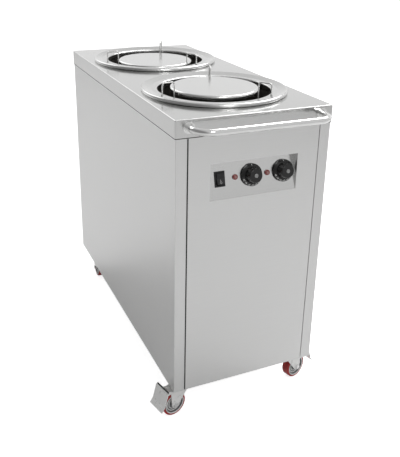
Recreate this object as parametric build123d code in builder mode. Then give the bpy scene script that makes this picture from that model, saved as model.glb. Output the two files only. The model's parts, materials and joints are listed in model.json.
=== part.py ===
from build123d import *
import os
from math import cos, hypot, radians, sin

os.makedirs("parts", exist_ok=True)

# Millimetres. The floor is z = 0, the origin lies under the middle of the cabinet and the controls face -Y.

# Cabinet sheet metal
width = 450
length = 1000
body_height = 790
sheet = 1.5
bend_radius = 3
lid_edge = 2.4
apron_depth = 46
apron_gap = 0.5
panel_lap = 14
panel_gap = 1.8
panel_flange = 22
post_size = 32
post_wall = 2
post_setback = 4
post_corner = 3
pan_flange = 25
flange_gap = 2

# Casters
caster_post_gap_x = 10.5
caster_post_gap_y = 14.5
wheel_diameter = 75
wheel_width = 25
wheel_clearance = 3.5
tread_depth = 6
tread_shoulder = 3
caster_trail = 31
stem_radius = 6
stem_length = 26
socket_radius = 14
socket_height = 28
hex_across = 22
hex_height = 8
race_radius = 22
race_height = 10.5
king_pin_radius = 5
rivet_radius = 8
rivet_height = 2.7
swivel_gap = 0.3
crown_thickness = 5.7
leg_thickness = 2.5
leg_clearance = 1
leg_back = 16
leg_front = 46
axle_radius = 4
axle_boss_radius = 11
axle_nut_across = 13
axle_nut_height = 6
hub_boss_radius = 12
hub_rim = 3
hub_web_width = 14
hub_groove = 1.2
running_clearance = 0.06

# Brake pedal of the front casters, in the caster's own upright plane
pedal_pivot_reach = 29
pedal_pin_radius = 2.5
pedal_knuckle_radius = 9.5
pedal_ear_radius = 6.5
pedal_ear_gap = 0.7
pedal_width = 60
pedal_thickness = 2.5
pedal_lead = 5.5
pedal_rise = 14.5
pedal_reach = 12
pedal_drop = 42
pedal_lip_reach = 10.5
pedal_lip_drop = 14

# Trail direction of each caster at rest, in degrees from +X
caster_trails = {"front_left": 193, "front_right": 17, "rear_left": 270, "rear_right": 262}

# Wells, each set inward from the middle of its half of the cabinet
well_offset = 10
ring_outer_radius = 208
ring_hole_radius = 162
ring_sheet = 1.5
ring_roll_height = 11
ring_foot = 3
ring_inner_height = 5.5
ring_lip_radius = 4
ring_flat_width = 14
ring_collar_depth = 14
tube_wall = 1.5
tube_gap = 0.5
tube_flange = 20
tube_floor_height = 45
carrier_radius = 126
carrier_edge_radius = 6
carrier_skirt = 12
carrier_rise = {"front": 12, "rear": 2}
carrier_drop = 200
carrier_travel = 430
column_radius = 30
spider_radius = 46
arm_width = 8
arm_thickness = 4
arm_angles = (90, 210, 330)
slot_width = 14
slot_end_gap = 12
slide_width = 13
slide_depth = 12
slide_height = 14
slide_clearance = 0.1
spring_circle = 178
spring_radius = 7
spring_wall = 2
anchor_depth = 18
anchor_thickness = 3
anchor_width = 14
arm_end_margin = 8

# Heaters
heater_circle = 95
heater_radius = 4
heater_height = 14
heater_leg_angle = 30
heater_sleeve_radius = 6
heater_sleeve_rise = 2
heater_leg_length = 22
heater_leg_clearance = 0.1
tray_overhang = 6
standoff_radius = 3

# Wire plate guides, each turned in towards the middle of its well
guide_wire_radius = 2
guide_circle = 172
guide_span = 38
guide_height = 37
guide_bend = 7
guide_root = 6
guide_foot = 20
guide_shoulder_radius = 3.5
guide_shoulder_height = 1.5
guide_shoulder_gap = 0.3
guide_starts = {"front": 190, "rear": 182}
guide_steps = {"left": 0, "right": 120, "back": 240}

# Control recess, measured from the cabinet bottom
recess_width = 255
recess_height = 100
recess_level = 566
recess_depth = 22
recess_drop = 6
recess_lip = 12
control_pitch = 47.5
control_shift = -3.5
control_level = 0.555

# Rocker switch
switch_width = 29
switch_height = 41
bezel_height = 3
bezel_edge = 1.2
switch_wall = 1.5
rocker_wall = 2.5
switch_depth = 26
switch_cavity = 11
cutout_clearance = 0.1
rocker_gap = 0.4
rocker_end_gap = 1.8
rocker_crest = 9
rocker_dip = 6.5
rocker_shoulder = 2
rocker_root = 6
rocker_root_length = 20
rocker_pivot_depth = 1
rocker_tilt = 8
trunnion_radius = 2
trunnion_length = 2

# Indicator lamps
lamp_radius = 7.5
lamp_dome = 4.5
lamp_edge = 3.6
lamp_flange = 1
lamp_body_radius = 6
lamp_body_depth = 24
lamp_stem_radius = 4
lamp_stem_depth = 10
lamp_clearance = 0.1

# Thermostats and knobs
knob_radius = 30
knob_lift = 4
skirt_rim = 2
skirt_cone = 4
skirt_crown_radius = 23.6
grip_radius = 21.5
grip_top_radius = 18.3
grip_height = 20
grip_edge = 3
flute_radius = 2.4
flute_circle = 21.8
flute_count = 12
flute_root = 1.5
spindle_radius = 3
spindle_depth = 18
spindle_end_gap = 2
spindle_engagement = 10
knob_bore_clearance = 0.05
bush_radius = 5
bush_height = 3
bush_clearance = 0.2
thermostat_width = 44
thermostat_height = 40
thermostat_depth = 28

# Push handle
handle_inset = 35
handle_reach = 62
handle_bend = 45
handle_radius = 9
handle_wall = 1.5
handle_drop = 20
handle_plug = 14
collar_flange_radius = 15
collar_flange_height = 4
collar_radius = 12
collar_height = 11
collar_clearance = 0.1
handle_bolt_radius = 4
handle_bolt_depth = 12
handle_bolt_clearance = 0.2
handle_bolt_across = 13
handle_bolt_head = 5

# Power inlet on the back panel
inlet_edge = 80
inlet_level = 120
inlet_width = 50
inlet_height = 32
inlet_margin = 5
inlet_flange = 2
inlet_depth = 30
inlet_wall = 6
inlet_corner = 1
inlet_cavity = 16
pin_width = 2
pin_height = 5
pin_length = 12
pin_pitch = 11

# Levels and faces worked out from the sizes above
rivet_bottom = wheel_diameter + wheel_clearance
rivet_top = rivet_bottom + rivet_height
crown_bottom = rivet_top + swivel_gap
crown_top = crown_bottom + crown_thickness
race_bottom = crown_top + swivel_gap
race_top = race_bottom + race_height
body_bottom = race_top + hex_height
body_top = body_bottom + body_height
lid_underside = body_top - sheet
panel_top = body_top - apron_depth + panel_lap
side_x = width / 2 - sheet - apron_gap
end_y = length / 2 - sheet - apron_gap
inner_x = side_x - sheet
inner_y = end_y - sheet
post_x = inner_x - post_size / 2
post_y = inner_y - post_setback - post_size / 2
post_face_x = inner_x - post_size
stile_width = side_x - post_face_x - panel_gap
caster_x = post_face_x - caster_post_gap_x
caster_y = post_y - post_size / 2 - caster_post_gap_y
well_y = length / 4 - well_offset
wells = {"front": -well_y, "rear": well_y}
tube_radius = ring_hole_radius + ring_sheet + tube_gap
tube_outer_radius = tube_radius + tube_wall
tube_flange_radius = tube_outer_radius + tube_flange
tube_bottom = body_bottom + tube_floor_height
pivot_bore_radius = guide_wire_radius + running_clearance
anchor_underside = body_top - anchor_depth - anchor_thickness
handle_z = body_top - handle_drop
handle_half_span = width / 2 - handle_inset
inlet_x = inlet_edge - post_face_x
recess_bottom = body_bottom + recess_level
recess_top = recess_bottom + recess_height


def finish(piece, name):
    """Label a finished piece and write it under its node name."""
    piece.part.label = name
    export_step(piece.part, f"parts/{name}.step")


def well_section(y):
    """Upright plane through a well's axis: local x is the radius, local y the height over the cabinet top."""
    return Plane(origin=(0, y, body_top), x_dir=(1, 0, 0), z_dir=(0, -1, 0))


def well_axis(y):
    return Axis((0, y, 0), (0, 0, 1))


def around(y, radius, angle):
    """A point in plan on a circle about a well's axis."""
    return radius * cos(radians(angle)), y + radius * sin(radians(angle))


def guide_angle(well, side):
    return guide_starts[well] + guide_steps[side]


def guide_pivots(well):
    """Where a well's three guides stand in plan, by side."""
    return {side: around(wells[well], guide_circle, guide_angle(well, side)) for side in guide_steps}


# Top panel: a folded lid with a deep apron, two well openings and holes for the guides and the handle
apron_front = Plane(origin=(0, -length / 2, handle_z), x_dir=(1, 0, 0), z_dir=(0, -1, 0))

with BuildPart() as top_panel:
    with BuildSketch(Plane.XY.offset(body_top - apron_depth)):
        RectangleRounded(width, length, bend_radius)
    extrude(amount=apron_depth)
    fillet(top_panel.faces().sort_by(Axis.Z)[-1].edges(), lid_edge)
    with BuildSketch(Plane.XY.offset(body_top - apron_depth)):
        RectangleRounded(width - 2 * sheet, length - 2 * sheet, bend_radius / 2)
    extrude(amount=apron_depth - sheet, mode=Mode.SUBTRACT)
    with BuildSketch(Plane.XY.offset(lid_underside)):
        with Locations(*[(0, y) for y in wells.values()]):
            Circle(tube_outer_radius + tube_gap)
        with Locations(*[pivot for well in wells for pivot in guide_pivots(well).values()]):
            Circle(pivot_bore_radius)
    extrude(amount=2 * sheet, mode=Mode.SUBTRACT)
    with BuildSketch(apron_front):
        with GridLocations(2 * handle_half_span, 0, 2, 1):
            Circle(handle_bolt_radius + handle_bolt_clearance)
    extrude(amount=-2 * sheet, mode=Mode.SUBTRACT)
finish(top_panel, "top_panel")


# Side panels: flat sheets wrapped round the front and back corners as narrow stiles
for name, sign in (("left_side_panel", -1), ("right_side_panel", 1)):
    with BuildPart() as side_panel:
        with BuildSketch(Plane.XY.offset(body_bottom)) as channel:
            with Locations((sign * (side_x - sheet / 2), 0)):
                Rectangle(sheet, 2 * end_y)
            stile_x = sign * (side_x - stile_width / 2)
            with GridLocations(0, 2 * end_y - sheet, 1, 2):
                with Locations((stile_x, 0)):
                    Rectangle(stile_width, sheet)
            by_x = channel.vertices().sort_by(Axis.X)
            fillet(by_x[-2:] if sign > 0 else by_x[:2], bend_radius / 2)
        extrude(amount=panel_top - body_bottom)
    finish(side_panel, name)


# Corner posts: square tubes that carry the lid
with BuildPart() as corner_posts:
    with BuildSketch(Plane.XY.offset(body_bottom)):
        with GridLocations(2 * post_x, 2 * post_y, 2, 2):
            RectangleRounded(post_size, post_size, post_corner)
            Rectangle(post_size - 2 * post_wall, post_size - 2 * post_wall, mode=Mode.SUBTRACT)
    extrude(amount=lid_underside - body_bottom)
finish(corner_posts, "corner_posts")


# Base pan: a tray notched round the posts, with bosses on its floor for the caster stems
notch_length = post_size + post_setback

with BuildPart() as base_pan:
    with BuildSketch(Plane.XY.offset(body_bottom)) as pan_outline:
        Rectangle(2 * inner_x, 2 * inner_y)
        with GridLocations(2 * post_x, 2 * inner_y - notch_length, 2, 2):
            Rectangle(post_size, notch_length, mode=Mode.SUBTRACT)
    extrude(amount=pan_flange)
    with BuildSketch(Plane.XY.offset(body_bottom + sheet)):
        offset(pan_outline.sketch.face().moved(Location((0, 0, sheet))), amount=-sheet, kind=Kind.INTERSECTION)
    extrude(amount=pan_flange, mode=Mode.SUBTRACT)
    with BuildSketch(Plane.XY.offset(body_bottom)):
        with GridLocations(2 * caster_x, 2 * caster_y, 2, 2):
            Circle(stem_radius + running_clearance)
    extrude(amount=sheet, mode=Mode.SUBTRACT)
finish(base_pan, "base_pan")

with BuildPart() as stem_sockets:
    with BuildSketch(Plane.XY.offset(body_bottom + sheet)):
        with GridLocations(2 * caster_x, 2 * caster_y, 2, 2):
            Circle(socket_radius)
            Circle(stem_radius + running_clearance, mode=Mode.SUBTRACT)
    extrude(amount=socket_height)
finish(stem_sockets, "stem_sockets")


# Front and back panels: flat sheets between the stiles, with side flanges that lie against the posts
flange_bottom = body_bottom + pan_flange + flange_gap


def end_panel(end, opening_x, opening_z, opening_width, opening_height):
    with BuildPart() as panel:
        with BuildSketch(Plane.XY.offset(body_bottom)):
            with Locations((0, end * (end_y - sheet / 2))):
                Rectangle(2 * post_face_x, sheet)
        extrude(amount=panel_top - body_bottom)
        with BuildSketch(Plane.XY.offset(flange_bottom)):
            with Locations((0, end * (end_y - panel_flange / 2))):
                with GridLocations(2 * post_face_x - sheet, 0, 2, 1):
                    Rectangle(sheet, panel_flange)
        extrude(amount=panel_top - flange_bottom)
        with BuildSketch(Plane(origin=(opening_x, end * end_y, opening_z), x_dir=(1, 0, 0), z_dir=(0, -1, 0))):
            Rectangle(opening_width, opening_height)
        extrude(amount=2 * sheet, both=True, mode=Mode.SUBTRACT)
    return panel


front_panel = end_panel(-1, 0, recess_bottom + recess_height / 2, recess_width, recess_height)
finish(front_panel, "front_panel")
back_panel = end_panel(1, inlet_x, body_bottom + inlet_level, inlet_width, inlet_height)
finish(back_panel, "back_panel")


# Control recess: a folded box behind the opening, its fascia leaning back from the lower edge
recess_foot = Vector(0, -inner_y, recess_bottom)
recess_head = Vector(0, -inner_y, recess_top)
recess_corner = Vector(0, -inner_y + recess_depth, recess_top - recess_drop)
fascia_slope = (recess_corner - recess_foot).normalized()
fascia_normal = Vector(1, 0, 0).cross(fascia_slope)
fascia = Plane(
    origin=recess_foot + (recess_corner - recess_foot) * control_level, x_dir=(1, 0, 0), z_dir=fascia_normal
)
rocker_u = -2 * control_pitch
lamp_us = (control_shift - control_pitch, control_shift + control_pitch)
knob_us = {"left": control_shift, "right": control_shift + 2 * control_pitch}
rocker_opening_width = switch_width - 2 * switch_wall - 2 * rocker_wall
rocker_opening_height = switch_height - 2 * switch_wall - 2 * rocker_wall
switch_body_width = switch_width - 2 * switch_wall
switch_body_height = switch_height - 2 * switch_wall

with BuildPart() as control_recess:
    with BuildSketch(Plane.XZ.offset(inner_y)):
        with Locations((0, recess_bottom + recess_height / 2)):
            Rectangle(recess_width + 2 * recess_lip, recess_height + 2 * recess_lip)
    extrude(amount=-sheet)
    with BuildSketch(Plane.YZ) as recess_shell:
        with BuildLine():
            Polyline(*[(p.Y, p.Z) for p in (recess_foot, recess_head, recess_corner)], close=True)
        make_face()
        offset(amount=sheet, kind=Kind.INTERSECTION)
        with Locations((-inner_y - recess_depth, recess_bottom)):
            Rectangle(2 * recess_depth, 4 * recess_height, mode=Mode.SUBTRACT)
    extrude(amount=recess_width / 2 + sheet, both=True)
    with BuildSketch(Plane.YZ) as recess_cavity:
        with BuildLine():
            Polyline(*[(p.Y, p.Z) for p in (recess_foot, recess_head, recess_corner)], close=True)
        make_face()
    extrude(amount=recess_width / 2, both=True, mode=Mode.SUBTRACT)
    with BuildSketch(fascia):
        with Locations((rocker_u, 0)):
            Rectangle(switch_body_width + 2 * cutout_clearance, switch_body_height + 2 * cutout_clearance)
        with Locations(*[(u, 0) for u in lamp_us]):
            Circle(lamp_body_radius + lamp_clearance)
        with Locations(*[(u, 0) for u in knob_us.values()]):
            Circle(bush_radius + bush_clearance)
    extrude(amount=-2 * sheet, mode=Mode.SUBTRACT)
finish(control_recess, "control_recess")


# Rocker switch: a housing let into the fascia, and a rocker on two trunnions with its upper half pressed in
switch_plane = Plane(origin=fascia.from_local_coords((rocker_u, 0, 0)), x_dir=(1, 0, 0), z_dir=fascia_normal)
rocker_pivot = switch_plane.from_local_coords((0, 0, -rocker_pivot_depth))
trunnion_plane = Plane(origin=rocker_pivot, x_dir=fascia_slope, z_dir=(1, 0, 0))

with BuildPart() as switch_housing:
    with BuildSketch(switch_plane):
        Rectangle(switch_width, switch_height)
    extrude(amount=bezel_height)
    fillet(switch_housing.faces().sort_by(Axis(rocker_pivot, fascia_normal))[-1].edges(), bezel_edge)
    with BuildSketch(switch_plane):
        Rectangle(switch_body_width, switch_body_height)
    extrude(amount=-switch_depth)
    with BuildSketch(switch_plane.offset(bezel_height)):
        Rectangle(rocker_opening_width, rocker_opening_height)
    extrude(amount=-bezel_height - switch_cavity, mode=Mode.SUBTRACT)
    with BuildSketch(trunnion_plane):
        Circle(trunnion_radius + running_clearance)
    extrude(amount=rocker_opening_width / 2 + trunnion_length, both=True, mode=Mode.SUBTRACT)
finish(switch_housing, "switch_housing")

rocker_half = rocker_opening_height / 2 - rocker_end_gap
rocker_along = fascia_slope * cos(radians(rocker_tilt)) - fascia_normal * sin(radians(rocker_tilt))
rocker_plane = Plane(origin=rocker_pivot, x_dir=rocker_along, z_dir=(1, 0, 0))

with BuildPart() as switch_rocker:
    with BuildSketch(rocker_plane):
        with BuildLine():
            Polyline(
                (-rocker_half, rocker_shoulder),
                (-rocker_half, rocker_crest),
                (0, rocker_dip),
                (rocker_half, rocker_crest),
                (rocker_half, rocker_shoulder),
                (rocker_root_length / 2, -rocker_root),
                (-rocker_root_length / 2, -rocker_root),
                close=True,
            )
        make_face()
    extrude(amount=rocker_opening_width / 2 - rocker_gap, both=True)
    with BuildSketch(rocker_plane):
        Circle(trunnion_radius)
    extrude(amount=rocker_opening_width / 2 + trunnion_length - rocker_gap, both=True)
finish(switch_rocker, "switch_rocker")


# Indicator lamps: a body through the fascia and a domed lens plugged into it
with BuildPart() as indicator_housings:
    with BuildSketch(fascia):
        with Locations(*[(u, 0) for u in lamp_us]):
            Circle(lamp_radius)
    extrude(amount=lamp_flange)
    with BuildSketch(fascia):
        with Locations(*[(u, 0) for u in lamp_us]):
            Circle(lamp_body_radius)
    extrude(amount=-lamp_body_depth)
    with BuildSketch(fascia.offset(lamp_flange)):
        with Locations(*[(u, 0) for u in lamp_us]):
            Circle(lamp_stem_radius + lamp_clearance)
    extrude(amount=-lamp_flange - lamp_stem_depth, mode=Mode.SUBTRACT)
finish(indicator_housings, "indicator_housings")

with BuildPart() as indicator_lenses:
    with BuildSketch(fascia.offset(lamp_flange)):
        with Locations(*[(u, 0) for u in lamp_us]):
            Circle(lamp_radius)
    extrude(amount=lamp_dome)
    rims = indicator_lenses.faces().sort_by(Axis(rocker_pivot, fascia_normal))[-2:].edges()
    fillet(rims, lamp_edge)
    with BuildSketch(fascia.offset(lamp_flange)):
        with Locations(*[(u, 0) for u in lamp_us]):
            Circle(lamp_stem_radius)
    extrude(amount=-lamp_stem_depth + lamp_clearance)
finish(indicator_lenses, "indicator_lenses")


# Thermostats behind the fascia, their spindles, and the skirted knobs on the spindles
with BuildPart() as thermostats:
    with BuildSketch(fascia.offset(-sheet)):
        with Locations(*[(u, 0) for u in knob_us.values()]):
            Rectangle(thermostat_width, thermostat_height)
    extrude(amount=-thermostat_depth)
    with BuildSketch(fascia.offset(-sheet)):
        with Locations(*[(u, 0) for u in knob_us.values()]):
            Circle(bush_radius)
    extrude(amount=sheet + bush_height)
    with BuildSketch(fascia.offset(bush_height)):
        with Locations(*[(u, 0) for u in knob_us.values()]):
            Circle(spindle_radius + running_clearance)
    extrude(amount=-bush_height - spindle_depth - spindle_end_gap, mode=Mode.SUBTRACT)
finish(thermostats, "thermostats")

grip_bottom = knob_lift + skirt_rim + skirt_cone
grip_top = grip_bottom + grip_height

for side, u in knob_us.items():
    knob_plane = Plane(origin=fascia.from_local_coords((u, 0, 0)), x_dir=(1, 0, 0), z_dir=fascia_normal)
    with BuildPart() as spindle:
        with BuildSketch(knob_plane.offset(-spindle_depth)):
            Circle(spindle_radius)
        extrude(amount=spindle_depth + knob_lift + spindle_engagement)
    finish(spindle, f"{side}_spindle")

    with BuildPart() as knob:
        with BuildSketch(Plane(origin=knob_plane.origin, x_dir=(1, 0, 0), z_dir=fascia_slope * -1)):
            with BuildLine():
                Polyline(
                    (0, knob_lift),
                    (knob_radius, knob_lift),
                    (knob_radius, knob_lift + skirt_rim),
                    (skirt_crown_radius, grip_bottom),
                    (grip_radius, grip_bottom),
                    (grip_top_radius, grip_top),
                    (0, grip_top),
                    close=True,
                )
            make_face()
        revolve(axis=Axis(knob_plane.origin, fascia_normal))
        fillet(knob.faces().sort_by(Axis(rocker_pivot, fascia_normal))[-1].edges(), grip_edge)
        with BuildSketch(knob_plane.offset(grip_bottom + flute_root)):
            with PolarLocations(flute_circle, flute_count):
                Circle(flute_radius)
        extrude(amount=grip_height, mode=Mode.SUBTRACT)
        with BuildSketch(knob_plane.offset(knob_lift)):
            Circle(spindle_radius + knob_bore_clearance)
        extrude(amount=spindle_engagement, mode=Mode.SUBTRACT)
    finish(knob, f"{side}_knob")


# Push handle: a bent tube with plugged ends, its collars, and bolts from inside the apron
handle_level = Plane.XY.offset(handle_z)
apron_y = -length / 2
bar_y = apron_y - handle_reach


def handle_path(start_y):
    return FilletPolyline(
        (-handle_half_span, start_y),
        (-handle_half_span, bar_y),
        (handle_half_span, bar_y),
        (handle_half_span, start_y),
        radius=handle_bend,
    )


with BuildPart() as push_handle:
    with BuildLine(handle_level) as bar_line:
        handle_path(apron_y)
    with BuildSketch(Plane(origin=(-handle_half_span, apron_y, handle_z), z_dir=(0, -1, 0))):
        Circle(handle_radius)
    sweep(path=bar_line.line)
    with BuildLine(handle_level) as bore_line:
        handle_path(apron_y - handle_plug)
    with BuildSketch(Plane(origin=(-handle_half_span, apron_y - handle_plug, handle_z), z_dir=(0, -1, 0))):
        Circle(handle_radius - handle_wall)
    sweep(path=bore_line.line, mode=Mode.SUBTRACT)
    with BuildSketch(apron_front):
        with GridLocations(2 * handle_half_span, 0, 2, 1):
            Circle(handle_bolt_radius + running_clearance)
    extrude(amount=handle_bolt_depth + flange_gap, mode=Mode.SUBTRACT)
finish(push_handle, "push_handle")

with BuildPart() as handle_collars:
    with BuildSketch(apron_front):
        with GridLocations(2 * handle_half_span, 0, 2, 1):
            Circle(collar_flange_radius)
    extrude(amount=collar_flange_height)
    with BuildSketch(apron_front):
        with GridLocations(2 * handle_half_span, 0, 2, 1):
            Circle(collar_radius)
    extrude(amount=collar_height)
    with BuildSketch(apron_front):
        with GridLocations(2 * handle_half_span, 0, 2, 1):
            Circle(handle_radius + collar_clearance)
    extrude(amount=collar_height, mode=Mode.SUBTRACT)
finish(handle_collars, "handle_collars")

with BuildPart() as handle_bolts:
    with BuildSketch(apron_front.offset(-sheet)):
        with GridLocations(2 * handle_half_span, 0, 2, 1):
            RegularPolygon(handle_bolt_across / 2, 6, major_radius=False)
    extrude(amount=-handle_bolt_head)
    with BuildSketch(apron_front.offset(-sheet)):
        with GridLocations(2 * handle_half_span, 0, 2, 1):
            Circle(handle_bolt_radius)
    extrude(amount=sheet + handle_bolt_depth)
finish(handle_bolts, "handle_bolts")


# Well rings: dished annuli with a rolled outer edge and a collar that hangs in the tube
roll_radius = ring_roll_height / 2
roll_centre_r = ring_outer_radius - roll_radius
lip_centre_r = ring_hole_radius + ring_lip_radius
lip_centre_z = ring_inner_height - ring_lip_radius
flat_end_r = lip_centre_r + ring_flat_width


def ring_piece(well, y):
    with BuildPart() as ring:
        with BuildSketch(well_section(y)):
            with BuildLine():
                Polyline(
                    (roll_centre_r, 0),
                    (roll_centre_r - ring_foot, 0),
                    (roll_centre_r - ring_foot, ring_sheet),
                    (roll_centre_r, ring_sheet),
                )
                CenterArc((roll_centre_r, roll_radius), roll_radius - ring_sheet, -90, 180)
                Polyline(
                    (roll_centre_r, ring_roll_height - ring_sheet),
                    (flat_end_r, ring_inner_height - ring_sheet),
                    (lip_centre_r, ring_inner_height - ring_sheet),
                )
                CenterArc((lip_centre_r, lip_centre_z), ring_lip_radius - ring_sheet, 90, 90)
                Polyline(
                    (ring_hole_radius + ring_sheet, lip_centre_z),
                    (ring_hole_radius + ring_sheet, -ring_collar_depth),
                    (ring_hole_radius, -ring_collar_depth),
                    (ring_hole_radius, lip_centre_z),
                )
                CenterArc((lip_centre_r, lip_centre_z), ring_lip_radius, 180, -90)
                Polyline(
                    (lip_centre_r, ring_inner_height),
                    (flat_end_r, ring_inner_height),
                    (roll_centre_r, ring_roll_height),
                )
                CenterArc((roll_centre_r, roll_radius), roll_radius, 90, -180)
            make_face()
        revolve(axis=well_axis(y))
        with BuildSketch(Plane.XY.offset(body_top)):
            with Locations(*guide_pivots(well).values()):
                Circle(pivot_bore_radius)
        extrude(amount=ring_roll_height, mode=Mode.SUBTRACT)
    return ring


# Well tubes: flanged cylinders with three slots for the carrier arms and a tab over each slot for its spring
arm_tip = spring_circle + arm_end_margin
arm_level_top = max(carrier_rise.values()) - carrier_drop + arm_thickness
arm_level_bottom = max(carrier_rise.values()) - carrier_drop - carrier_travel


def tube_piece(well, y):
    slot_top = body_top + arm_level_top + slide_height / 2 + slot_end_gap
    slot_bottom = body_top + arm_level_bottom - slide_height / 2 - slot_end_gap
    with BuildPart() as tube:
        with BuildSketch(well_section(y)):
            with BuildLine():
                Polyline(
                    (tube_radius, tube_bottom - body_top),
                    (tube_outer_radius, tube_bottom - body_top),
                    (tube_outer_radius, 0),
                    (tube_flange_radius, 0),
                    (tube_flange_radius, tube_wall),
                    (tube_radius, tube_wall),
                    close=True,
                )
            make_face()
        revolve(axis=well_axis(y))
        for angle in arm_angles:
            spoke = Plane(origin=(0, y, anchor_underside), x_dir=(cos(radians(angle)), sin(radians(angle)), 0))
            with BuildSketch(spoke):
                with Locations(((tube_radius + tube_wall / 2 + arm_tip) / 2, 0)):
                    Rectangle(arm_tip - tube_radius - tube_wall / 2, anchor_width)
            extrude(amount=anchor_thickness)
            with BuildSketch(spoke.offset(slot_bottom - anchor_underside)):
                with Locations((tube_radius + tube_wall / 2, 0)):
                    Rectangle(4 * tube_wall, slot_width)
            extrude(amount=slot_top - slot_bottom, mode=Mode.SUBTRACT)
        with BuildSketch(Plane.XY.offset(body_top)):
            with Locations(*guide_pivots(well).values()):
                Circle(pivot_bore_radius)
        extrude(amount=tube_wall, mode=Mode.SUBTRACT)
    return tube


# Plate carriers: a round plate with a turned-down edge on a column, with three arms through the tube's slots
def carrier_piece(y, top):
    edge_r = carrier_radius - carrier_edge_radius
    edge_z = top - carrier_edge_radius
    arm_z = body_top + top - carrier_drop
    with BuildPart() as carrier:
        with BuildSketch(well_section(y)):
            with BuildLine():
                Polyline((0, top), (edge_r, top))
                CenterArc((edge_r, edge_z), carrier_edge_radius, 90, -90)
                Polyline(
                    (carrier_radius, edge_z),
                    (carrier_radius, top - carrier_skirt),
                    (carrier_radius - sheet, top - carrier_skirt),
                    (carrier_radius - sheet, edge_z),
                )
                CenterArc((edge_r, edge_z), carrier_edge_radius - sheet, 0, 90)
                Polyline(
                    (edge_r, top - sheet),
                    (column_radius, top - sheet),
                    (column_radius, top - carrier_drop),
                    (column_radius - sheet, top - carrier_drop),
                    (column_radius - sheet, top - sheet),
                    (0, top - sheet),
                    (0, top),
                )
            make_face()
        revolve(axis=well_axis(y))
        with BuildSketch(Plane.XY.offset(arm_z)):
            with Locations((0, y)):
                Circle(spider_radius)
        extrude(amount=arm_thickness)
        for angle in arm_angles:
            spoke = Plane(origin=(0, y, arm_z), x_dir=(cos(radians(angle)), sin(radians(angle)), 0))
            with BuildSketch(spoke):
                with Locations((arm_tip / 2, 0)):
                    Rectangle(arm_tip, arm_width)
            extrude(amount=arm_thickness)
    return carrier


# Nylon slides on the arms where they pass the tube wall
def slide_group(y, rise):
    arm_middle = body_top + rise - carrier_drop + arm_thickness / 2
    fit = 2 * slide_clearance
    with BuildPart() as slides:
        for angle in arm_angles:
            along = (cos(radians(angle)), sin(radians(angle)), 0)
            middle = (*around(y, tube_radius + tube_wall / 2, angle), arm_middle)
            with BuildSketch(Plane(origin=middle, z_dir=along, x_dir=(0, 0, 1))):
                Rectangle(slide_height, slide_width)
                Rectangle(arm_thickness + fit, arm_width + fit, mode=Mode.SUBTRACT)
            extrude(amount=slide_depth / 2, both=True)
    return slides


# Extension springs between the tube's tabs and the carrier arms, as close-wound coils
def spring_group(y, rise):
    arm_top = body_top + rise - carrier_drop + arm_thickness
    with BuildPart() as springs:
        with BuildSketch(Plane.XY.offset(arm_top)):
            with Locations(*[around(y, spring_circle, angle) for angle in arm_angles]):
                Circle(spring_radius)
                Circle(spring_radius - spring_wall, mode=Mode.SUBTRACT)
        extrude(amount=anchor_underside - arm_top)
    return springs


# Wire guides: inverted loops that swing about their outer leg, with the inner leg hanging in the well's mouth
def guide_piece(well, side):
    pivot_x, pivot_y = guide_pivots(well)[side]
    heading = radians(guide_angle(well, side) + 180)
    inward = (cos(heading), sin(heading), 0)
    loop_plane = Plane(origin=(pivot_x, pivot_y, body_top), x_dir=inward, z_dir=(inward[1], -inward[0], 0))
    with BuildPart() as guide:
        with BuildLine(loop_plane) as loop:
            FilletPolyline(
                (0, -guide_root),
                (0, guide_height),
                (guide_span, guide_height),
                (guide_span, -guide_foot),
                radius=guide_bend,
            )
        with BuildSketch(Plane(origin=(pivot_x, pivot_y, body_top - guide_root))):
            Circle(guide_wire_radius)
        sweep(path=loop.line)
        shoulder_z = body_top + ring_inner_height + guide_shoulder_gap
        with BuildSketch(Plane(origin=(pivot_x, pivot_y, shoulder_z))):
            Circle(guide_shoulder_radius)
        extrude(amount=guide_shoulder_height)
    return guide


for well, y in wells.items():
    finish(ring_piece(well, y), f"{well}_ring")
    finish(tube_piece(well, y), f"{well}_tube")
    finish(carrier_piece(y, carrier_rise[well]), f"{well}_carrier")
    finish(slide_group(y, carrier_rise[well]), f"{well}_slides")
    finish(spring_group(y, carrier_rise[well]), f"{well}_springs")
    for side in guide_steps:
        finish(guide_piece(well, side), f"{well}_{side}_guide")


# Heater trays close the tubes from below; each carries an open heater ring with its ends in sleeves
tray_radius = tube_outer_radius + tray_overhang
heater_z = tube_bottom + heater_height
heater_start = heater_leg_angle / 2
heater_ends = [around(y, heater_circle, a) for y in wells.values() for a in (-heater_start, heater_start)]
standoff_angles = (90, 180, 270)

with BuildPart() as heater_trays:
    with BuildSketch(Plane.XY.offset(tube_bottom - sheet)):
        with Locations(*[(0, y) for y in wells.values()]):
            Circle(tray_radius)
        with Locations(*heater_ends):
            Circle(heater_sleeve_radius + heater_leg_clearance, mode=Mode.SUBTRACT)
    extrude(amount=sheet)
    with BuildSketch(Plane.XY.offset(tube_bottom)):
        with Locations(*[around(y, heater_circle, a) for y in wells.values() for a in standoff_angles]):
            Circle(standoff_radius)
    extrude(amount=heater_height - heater_radius)
finish(heater_trays, "heater_trays")

with BuildPart() as heaters:
    for y in wells.values():
        out = (cos(radians(heater_start)), sin(radians(heater_start)), 0)
        with BuildSketch(Plane(origin=(0, y, heater_z), x_dir=out, z_dir=(out[1], -out[0], 0))):
            with Locations((heater_circle, 0)):
                Circle(heater_radius)
        revolve(axis=well_axis(y), revolution_arc=360 - heater_leg_angle)
    with BuildSketch(Plane.XY.offset(tube_bottom - heater_leg_length)):
        with Locations(*heater_ends):
            Circle(heater_sleeve_radius)
    extrude(amount=heater_leg_length + heater_height + heater_radius + heater_sleeve_rise)
finish(heaters, "heaters")


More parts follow.
